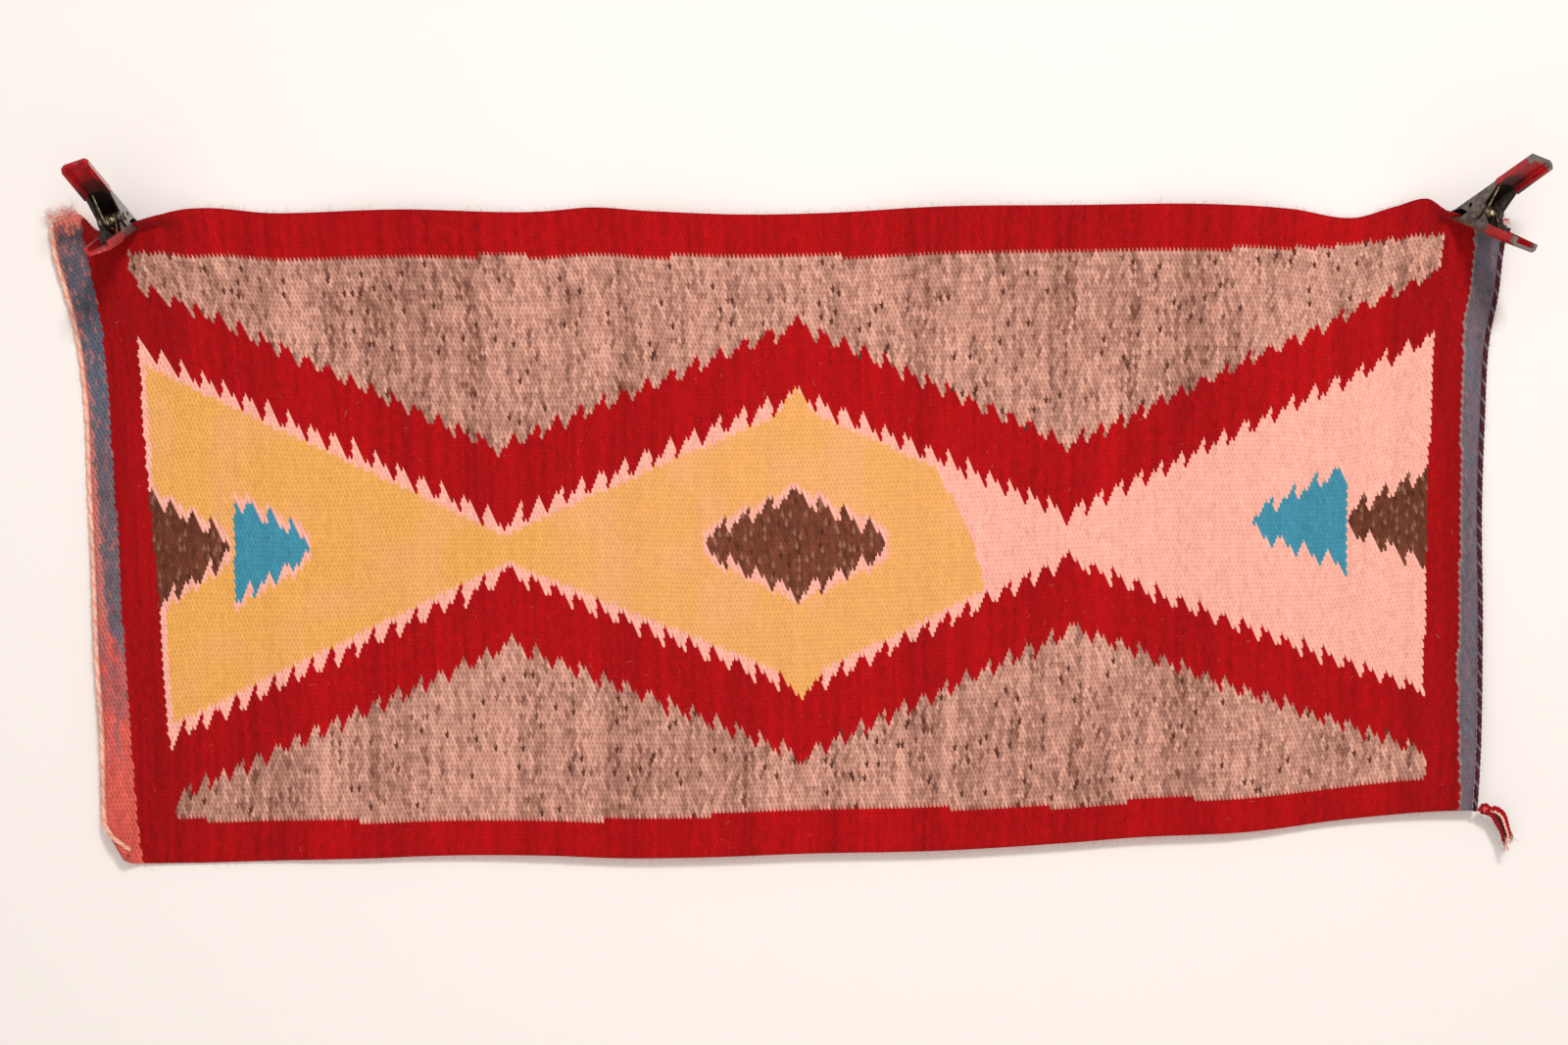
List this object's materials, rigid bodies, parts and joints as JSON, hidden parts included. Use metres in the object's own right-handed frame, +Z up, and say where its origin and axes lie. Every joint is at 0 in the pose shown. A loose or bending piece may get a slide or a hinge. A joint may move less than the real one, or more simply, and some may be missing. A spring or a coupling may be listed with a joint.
{
  "type": "woven navajo rug hung by spring clamps",
  "caption": "Small tapestry rug with serrated diamonds, hung sideways on a wall by spring clamps that grip its top edge, with twisted end cords and a corner tassel.",
  "frame": {"origin": "on the wall plane, midway between the two clamps' grips on the rug's top edge", "axes": "+X along the rug's length to the right as seen from the front, +Y into the wall, +Z up"},
  "size_m": [1.28, 0.1171, 0.6021],
  "materials": {
    "rug_wool": "matte woven wool",
    "coral_yarn": "matte twisted wool",
    "maroon_yarn": "matte twisted wool",
    "tassel_yarn": "matte twisted wool",
    "clamp_steel": "worn plated steel",
    "spring_steel": "plain spring wire",
    "handle_dip": "dipped soft plastic, worn at the tips"
  },
  "bodies": {
    "root": {"rug": "rug_wool", "end_cord_left": "coral_yarn", "end_cord_right": "maroon_yarn", "corner_tassel": "tassel_yarn", "tuft_top_left": "coral_yarn", "tuft_top_right": "coral_yarn", "clamp_left_upper_lever": "clamp_steel", "clamp_left_lower_lever": "clamp_steel", "clamp_left_pin": "clamp_steel", "clamp_left_spring": "spring_steel", "clamp_left_upper_dip": "handle_dip", "clamp_left_lower_dip": "handle_dip", "clamp_right_upper_lever": "clamp_steel", "clamp_right_lower_lever": "clamp_steel", "clamp_right_pin": "clamp_steel", "clamp_right_spring": "spring_steel", "clamp_right_upper_dip": "handle_dip", "clamp_right_lower_dip": "handle_dip"}
  },
  "joints": []
}
